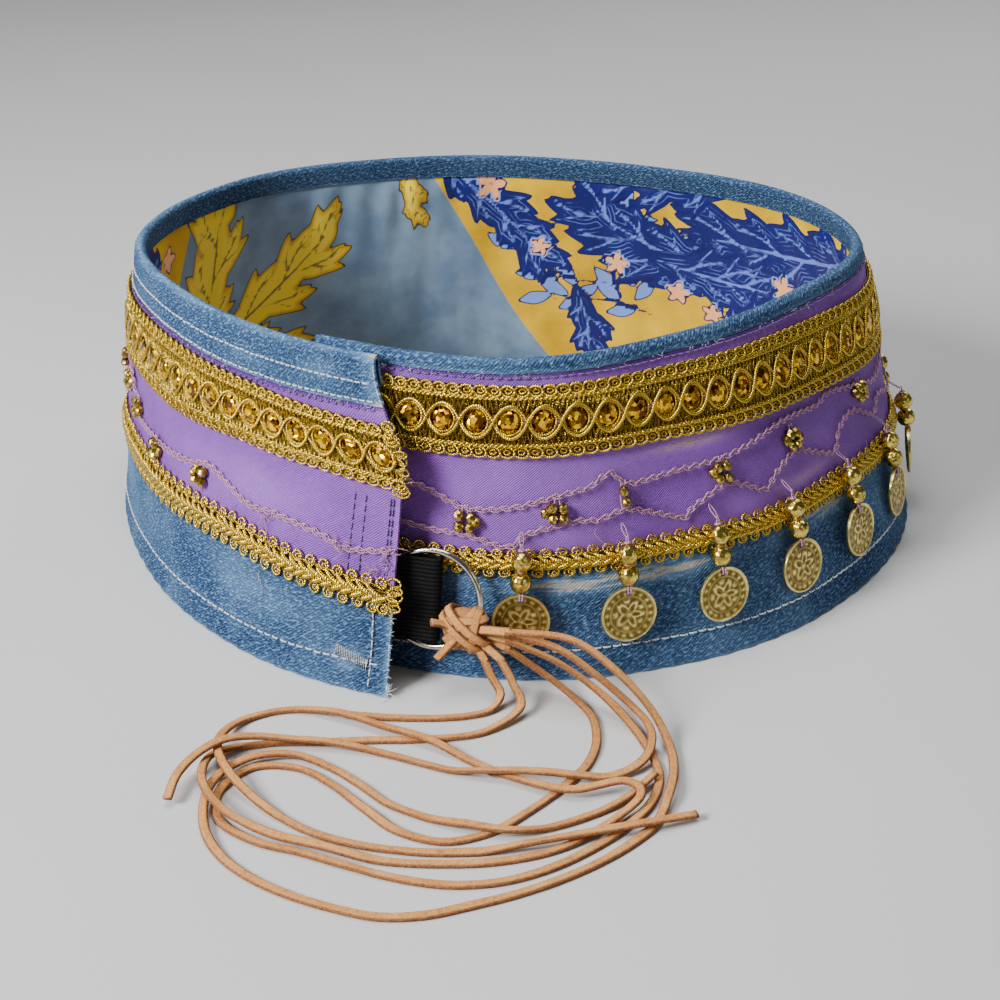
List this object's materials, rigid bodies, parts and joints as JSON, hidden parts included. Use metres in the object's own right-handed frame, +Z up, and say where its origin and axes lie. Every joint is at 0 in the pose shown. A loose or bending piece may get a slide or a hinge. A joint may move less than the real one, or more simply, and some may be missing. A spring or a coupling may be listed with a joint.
{
  "type": "coin belt",
  "caption": "Hip belt of denim and purple twill with jewelled gold braid, a chain net, hanging brass coins, an O-ring and long suede laces, standing on its hem.",
  "frame": {"origin": "centre of the belt's box on the surface that its hem stands on", "axes": "+Z up from the hem, +X to the right as seen from the flap and the laces, +Y to the back"},
  "size_m": [0.3246, 0.4102, 0.11],
  "materials": {
    "denim": "faded indigo denim with pale top stitching",
    "twill": "purple twill with a soft sheen",
    "lining_satin": "printed satin",
    "gold_braid": "metallic thread braid",
    "coin_brass": "struck brass, worn and toned",
    "bead_gold": "polished gold-tone beads on thread",
    "black_webbing": "ribbed webbing",
    "ring_metal": "polished",
    "suede": "suede lace"
  },
  "bodies": {
    "root": {"denim_top_band": "denim", "purple_panel": "twill", "denim_hem_band": "denim", "printed_lining": "lining_satin", "jewelled_braid": "gold_braid", "gimp_braid": "gold_braid", "o_ring": "ring_metal", "ring_webbing": "black_webbing", "lace_knot": "suede", "lace_1": "suede", "lace_2": "suede", "lace_3": "suede", "lace_4": "suede", "lace_5": "suede"},
    "drop_01": {"coin_01": "coin_brass", "beads_01": "bead_gold"},
    "drop_02": {"coin_02": "coin_brass", "beads_02": "bead_gold"},
    "drop_03": {"coin_03": "coin_brass", "beads_03": "bead_gold"},
    "drop_04": {"coin_04": "coin_brass", "beads_04": "bead_gold"},
    "drop_05": {"coin_05": "coin_brass", "beads_05": "bead_gold"},
    "drop_06": {"coin_06": "coin_brass", "beads_06": "bead_gold"},
    "drop_07": {"coin_07": "coin_brass", "beads_07": "bead_gold"},
    "drop_08": {"coin_08": "coin_brass", "beads_08": "bead_gold"},
    "drop_09": {"coin_09": "coin_brass", "beads_09": "bead_gold"},
    "drop_10": {"coin_10": "coin_brass", "beads_10": "bead_gold"},
    "drop_11": {"coin_11": "coin_brass", "beads_11": "bead_gold"},
    "drop_12": {"coin_12": "coin_brass", "beads_12": "bead_gold"},
    "drop_13": {"coin_13": "coin_brass", "beads_13": "bead_gold"},
    "drop_14": {"coin_14": "coin_brass", "beads_14": "bead_gold"},
    "drop_15": {"coin_15": "coin_brass", "beads_15": "bead_gold"},
    "drop_16": {"coin_16": "coin_brass", "beads_16": "bead_gold"},
    "drop_17": {"coin_17": "coin_brass", "beads_17": "bead_gold"},
    "drop_18": {"coin_18": "coin_brass", "beads_18": "bead_gold"}
  },
  "joints": [
    {"name": "drop_01_swing", "type": "hinge", "parent": "root", "child": "drop_01", "pos_m": [0.00278, -0.1328, 0.051], "axis": [-1, 0.0024, 0.0048], "range_deg": [0, 4]},
    {"name": "drop_02_swing", "type": "hinge", "parent": "root", "child": "drop_02", "pos_m": [0.03824, -0.12612, 0.051], "axis": [-0.9607, -0.2769, 0.0178], "range_deg": [0, 25]},
    {"name": "drop_03_swing", "type": "hinge", "parent": "root", "child": "drop_03", "pos_m": [0.06986, -0.11136, 0.051], "axis": [-0.8801, -0.4749, 0.0023], "range_deg": [0, 80]},
    {"name": "drop_04_swing", "type": "hinge", "parent": "root", "child": "drop_04", "pos_m": [0.0981, -0.09119, 0.051], "axis": [-0.7546, -0.6561, -0.013], "range_deg": [0, 80]},
    {"name": "drop_05_swing", "type": "hinge", "parent": "root", "child": "drop_05", "pos_m": [0.12198, -0.06548, 0.051], "axis": [-0.5933, -0.8045, -0.0282], "range_deg": [0, 80]},
    {"name": "drop_06_swing", "type": "hinge", "parent": "root", "child": "drop_06", "pos_m": [0.14176, -0.03527, 0.051], "axis": [-0.4343, -0.8993, -0.0518], "range_deg": [0, 80]},
    {"name": "drop_07_swing", "type": "hinge", "parent": "root", "child": "drop_07", "pos_m": [0.15434, 0.00125, 0.051], "axis": [-0.1155, -0.9931, -0.0213], "range_deg": [0, 80]},
    {"name": "drop_08_swing", "type": "hinge", "parent": "root", "child": "drop_08", "pos_m": [0.15184, 0.04032, 0.051], "axis": [0.2412, -0.9704, 0.0113], "range_deg": [0, 80]},
    {"name": "drop_09_swing", "type": "hinge", "parent": "root", "child": "drop_09", "pos_m": [0.1364, 0.07567, 0.051], "axis": [0.5332, -0.8455, 0.0286], "range_deg": [0, 80]},
    {"name": "drop_10_swing", "type": "hinge", "parent": "root", "child": "drop_10", "pos_m": [0.11051, 0.10353, 0.051], "axis": [0.7987, -0.5991, 0.0562], "range_deg": [0, 80]},
    {"name": "drop_11_swing", "type": "hinge", "parent": "root", "child": "drop_11", "pos_m": [0.07926, 0.12101, 0.051], "axis": [0.9112, -0.4093, 0.0464], "range_deg": [0, 80]},
    {"name": "drop_12_swing", "type": "hinge", "parent": "root", "child": "drop_12", "pos_m": [0.04825, 0.13284, 0.051], "axis": [0.9643, -0.2645, 0.0168], "range_deg": [0, 80]},
    {"name": "drop_13_swing", "type": "hinge", "parent": "root", "child": "drop_13", "pos_m": [0.01652, 0.13961, 0.051], "axis": [0.9919, -0.1268, -0.0077], "range_deg": [0, 80]},
    {"name": "drop_14_swing", "type": "hinge", "parent": "root", "child": "drop_14", "pos_m": [-0.01613, 0.14253, 0.051], "axis": [0.9981, -0.0476, -0.0384], "range_deg": [0, 80]},
    {"name": "drop_15_swing", "type": "hinge", "parent": "root", "child": "drop_15", "pos_m": [-0.05148, 0.14059, 0.051], "axis": [0.9851, 0.1632, -0.0535], "range_deg": [0, 80]},
    {"name": "drop_16_swing", "type": "hinge", "parent": "root", "child": "drop_16", "pos_m": [-0.08751, 0.12955, 0.051], "axis": [0.9125, 0.4049, -0.0584], "range_deg": [0, 80]},
    {"name": "drop_17_swing", "type": "hinge", "parent": "root", "child": "drop_17", "pos_m": [-0.12222, 0.10873, 0.051], "axis": [0.7465, 0.664, -0.0434], "range_deg": [0, 80]},
    {"name": "drop_18_swing", "type": "hinge", "parent": "root", "child": "drop_18", "pos_m": [-0.14809, 0.07564, 0.051], "axis": [0.4282, 0.9036, -0.0124], "range_deg": [0, 80]}
  ]
}
